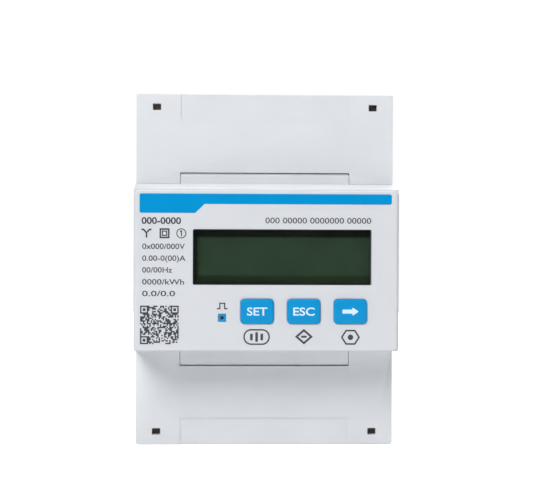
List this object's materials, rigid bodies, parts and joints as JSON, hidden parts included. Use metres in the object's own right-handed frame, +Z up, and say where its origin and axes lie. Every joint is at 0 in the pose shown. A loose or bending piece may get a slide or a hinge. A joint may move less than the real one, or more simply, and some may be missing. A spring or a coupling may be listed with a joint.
{
  "type": "smart electric meter",
  "caption": "DIN-rail electricity meter: raised face with display window and press keys, hinged covers over screw clamps for the wires, and a sprung rail latch at the back.",
  "frame": {"origin": "centre of the raised seat at the back that rests on the 35 mm rail", "axes": "+X to the reader's right across the modules, +Y from the front face back into the rail, +Z up"},
  "size_m": [0.072, 0.0662, 0.098],
  "materials": {
    "housing_plastic": "light grey moulded polycarbonate, fine matt spark texture",
    "terminal_plastic": "light grey glass-filled moulding, matt",
    "signal_plastic": "green moulded terminal block, satin",
    "latch_plastic": "grey acetal, satin",
    "button_plastic": "bright blue moulded keycap, semi-gloss",
    "dark_plastic": "black moulding, satin",
    "display_window": "clear polycarbonate pane",
    "lcd": "unlit reflective display glass, dark olive",
    "diffuser": "white light guide",
    "led": "red epoxy lens",
    "light_pipe": "tinted clear light pipe",
    "circuit_board": "green solder mask",
    "transformer_core": "laminated core, varnished",
    "capacitor_sleeve": "dark shrink sleeve",
    "copper": "bare copper strip",
    "transformer_case": "blue moulded coil case",
    "plated_brass": "brass, satin",
    "steel": "zinc-plated steel"
  },
  "bodies": {
    "housing": {"backlight_guide": "diffuser", "base_housing": "housing_plastic", "board_link_header": "dark_plastic", "current_transformer_1": "transformer_case", "current_transformer_2": "transformer_case", "current_transformer_3": "transformer_case", "display_board": "circuit_board", "display_window": "display_window", "face_panel": "housing_plastic", "housing_screw_1": "steel", "housing_screw_2": "steel", "housing_screw_3": "steel", "housing_screw_4": "steel", "latch_spring": "steel", "lcd_frame": "dark_plastic", "lcd_glass": "lcd", "led_light_pipe": "light_pipe", "lower_terminal_block": "terminal_plastic", "main_housing": "housing_plastic", "meter_board": "circuit_board", "neutral_busbar": "copper", "phase_busbar_1": "copper", "phase_busbar_2": "copper", "phase_busbar_3": "copper", "power_transformer": "transformer_core", "pulse_led": "led", "signal_terminal_block": "signal_plastic", "supply_capacitor": "capacitor_sleeve", "upper_terminal_block": "terminal_plastic"},
    "top_cover": {"top_terminal_cover": "housing_plastic"},
    "bottom_cover": {"bottom_terminal_cover": "housing_plastic"},
    "set_key": {"set_button": "button_plastic", "set_switch_plunger": "dark_plastic"},
    "escape_key": {"escape_button": "button_plastic", "escape_switch_plunger": "dark_plastic"},
    "scroll_key": {"scroll_button": "button_plastic", "scroll_switch_plunger": "dark_plastic"},
    "rail_latch": {"din_latch": "latch_plastic"},
    "upper_screw_1": {"upper_clamp_screw_1": "steel"},
    "upper_cage_1": {"upper_clamp_cage_1": "plated_brass"},
    "upper_screw_2": {"upper_clamp_screw_2": "steel"},
    "upper_cage_2": {"upper_clamp_cage_2": "plated_brass"},
    "upper_screw_3": {"upper_clamp_screw_3": "steel"},
    "upper_cage_3": {"upper_clamp_cage_3": "plated_brass"},
    "upper_screw_4": {"upper_clamp_screw_4": "steel"},
    "upper_cage_4": {"upper_clamp_cage_4": "plated_brass"},
    "lower_screw_1": {"lower_clamp_screw_1": "steel"},
    "lower_cage_1": {"lower_clamp_cage_1": "plated_brass"},
    "lower_screw_2": {"lower_clamp_screw_2": "steel"},
    "lower_cage_2": {"lower_clamp_cage_2": "plated_brass"},
    "lower_screw_3": {"lower_clamp_screw_3": "steel"},
    "lower_cage_3": {"lower_clamp_cage_3": "plated_brass"},
    "lower_screw_4": {"lower_clamp_screw_4": "steel"},
    "lower_cage_4": {"lower_clamp_cage_4": "plated_brass"},
    "signal_screw_body_1": {"signal_screw_1": "steel"},
    "signal_screw_body_2": {"signal_screw_2": "steel"},
    "signal_screw_body_3": {"signal_screw_3": "steel"},
    "signal_screw_body_4": {"signal_screw_4": "steel"}
  },
  "joints": [
    {"name": "top_cover_hinge", "type": "hinge", "parent": "housing", "child": "top_cover", "pos_m": [0, -0.0411, 0.0256], "axis": [1, 0, 0], "range_deg": [0, 90]},
    {"name": "bottom_cover_hinge", "type": "hinge", "parent": "housing", "child": "bottom_cover", "pos_m": [0, -0.0411, -0.0256], "axis": [-1, 0, 0], "range_deg": [0, 90]},
    {"name": "set_press", "type": "slide", "parent": "housing", "child": "set_key", "axis": [0, 1, 0], "range_m": [0, 0.0005], "stiffness_N_per_m": 800},
    {"name": "escape_press", "type": "slide", "parent": "housing", "child": "escape_key", "axis": [0, 1, 0], "range_m": [0, 0.0005], "stiffness_N_per_m": 800},
    {"name": "scroll_press", "type": "slide", "parent": "housing", "child": "scroll_key", "axis": [0, 1, 0], "range_m": [0, 0.0005], "stiffness_N_per_m": 800},
    {"name": "latch_slide", "type": "slide", "parent": "housing", "child": "rail_latch", "axis": [0, 0, -1], "range_m": [0, 0.004], "stiffness_N_per_m": 1200, "deforming": ["latch_spring"]},
    {"name": "upper_cage_1_rise", "type": "slide", "parent": "housing", "child": "upper_cage_1", "axis": [0, -1, 0], "range_m": [0, 0.0056]},
    {"name": "upper_screw_1_turn", "type": "hinge", "parent": "housing", "child": "upper_screw_1", "pos_m": [-0.027, -0.0354, 0.0394], "axis": [0, 1, 0], "range_deg": [0, 2520]},
    {"name": "upper_cage_2_rise", "type": "slide", "parent": "housing", "child": "upper_cage_2", "axis": [0, -1, 0], "range_m": [0, 0.0056]},
    {"name": "upper_screw_2_turn", "type": "hinge", "parent": "housing", "child": "upper_screw_2", "pos_m": [-0.009, -0.0354, 0.0394], "axis": [0, 1, 0], "range_deg": [0, 2520]},
    {"name": "upper_cage_3_rise", "type": "slide", "parent": "housing", "child": "upper_cage_3", "axis": [0, -1, 0], "range_m": [0, 0.0056]},
    {"name": "upper_screw_3_turn", "type": "hinge", "parent": "housing", "child": "upper_screw_3", "pos_m": [0.009, -0.0354, 0.0394], "axis": [0, 1, 0], "range_deg": [0, 2520]},
    {"name": "upper_cage_4_rise", "type": "slide", "parent": "housing", "child": "upper_cage_4", "axis": [0, -1, 0], "range_m": [0, 0.0056]},
    {"name": "upper_screw_4_turn", "type": "hinge", "parent": "housing", "child": "upper_screw_4", "pos_m": [0.027, -0.0354, 0.0394], "axis": [0, 1, 0], "range_deg": [0, 2520]},
    {"name": "lower_cage_1_rise", "type": "slide", "parent": "housing", "child": "lower_cage_1", "axis": [0, -1, 0], "range_m": [0, 0.0056]},
    {"name": "lower_screw_1_turn", "type": "hinge", "parent": "housing", "child": "lower_screw_1", "pos_m": [-0.027, -0.0354, -0.0394], "axis": [0, 1, 0], "range_deg": [0, 2520]},
    {"name": "lower_cage_2_rise", "type": "slide", "parent": "housing", "child": "lower_cage_2", "axis": [0, -1, 0], "range_m": [0, 0.0056]},
    {"name": "lower_screw_2_turn", "type": "hinge", "parent": "housing", "child": "lower_screw_2", "pos_m": [-0.009, -0.0354, -0.0394], "axis": [0, 1, 0], "range_deg": [0, 2520]},
    {"name": "lower_cage_3_rise", "type": "slide", "parent": "housing", "child": "lower_cage_3", "axis": [0, -1, 0], "range_m": [0, 0.0056]},
    {"name": "lower_screw_3_turn", "type": "hinge", "parent": "housing", "child": "lower_screw_3", "pos_m": [0.009, -0.0354, -0.0394], "axis": [0, 1, 0], "range_deg": [0, 2520]},
    {"name": "lower_cage_4_rise", "type": "slide", "parent": "housing", "child": "lower_cage_4", "axis": [0, -1, 0], "range_m": [0, 0.0056]},
    {"name": "lower_screw_4_turn", "type": "hinge", "parent": "housing", "child": "lower_screw_4", "pos_m": [0.027, -0.0354, -0.0394], "axis": [0, 1, 0], "range_deg": [0, 2520]},
    {"name": "signal_screw_1_turn", "type": "hinge", "parent": "housing", "child": "signal_screw_body_1", "pos_m": [-0.0075, -0.0392, -0.0296], "axis": [0, 1, 0], "range_deg": [0, 1080]},
    {"name": "signal_screw_2_turn", "type": "hinge", "parent": "housing", "child": "signal_screw_body_2", "pos_m": [-0.0025, -0.0392, -0.0296], "axis": [0, 1, 0], "range_deg": [0, 1080]},
    {"name": "signal_screw_3_turn", "type": "hinge", "parent": "housing", "child": "signal_screw_body_3", "pos_m": [0.0025, -0.0392, -0.0296], "axis": [0, 1, 0], "range_deg": [0, 1080]},
    {"name": "signal_screw_4_turn", "type": "hinge", "parent": "housing", "child": "signal_screw_body_4", "pos_m": [0.0075, -0.0392, -0.0296], "axis": [0, 1, 0], "range_deg": [0, 1080]}
  ],
  "couplings": [
    {"joint": "upper_screw_1_turn", "follows": "upper_cage_1_rise", "rad_per_m": 7854},
    {"joint": "upper_screw_2_turn", "follows": "upper_cage_2_rise", "rad_per_m": 7854},
    {"joint": "upper_screw_3_turn", "follows": "upper_cage_3_rise", "rad_per_m": 7854},
    {"joint": "upper_screw_4_turn", "follows": "upper_cage_4_rise", "rad_per_m": 7854},
    {"joint": "lower_screw_1_turn", "follows": "lower_cage_1_rise", "rad_per_m": 7854},
    {"joint": "lower_screw_2_turn", "follows": "lower_cage_2_rise", "rad_per_m": 7854},
    {"joint": "lower_screw_3_turn", "follows": "lower_cage_3_rise", "rad_per_m": 7854},
    {"joint": "lower_screw_4_turn", "follows": "lower_cage_4_rise", "rad_per_m": 7854}
  ]
}
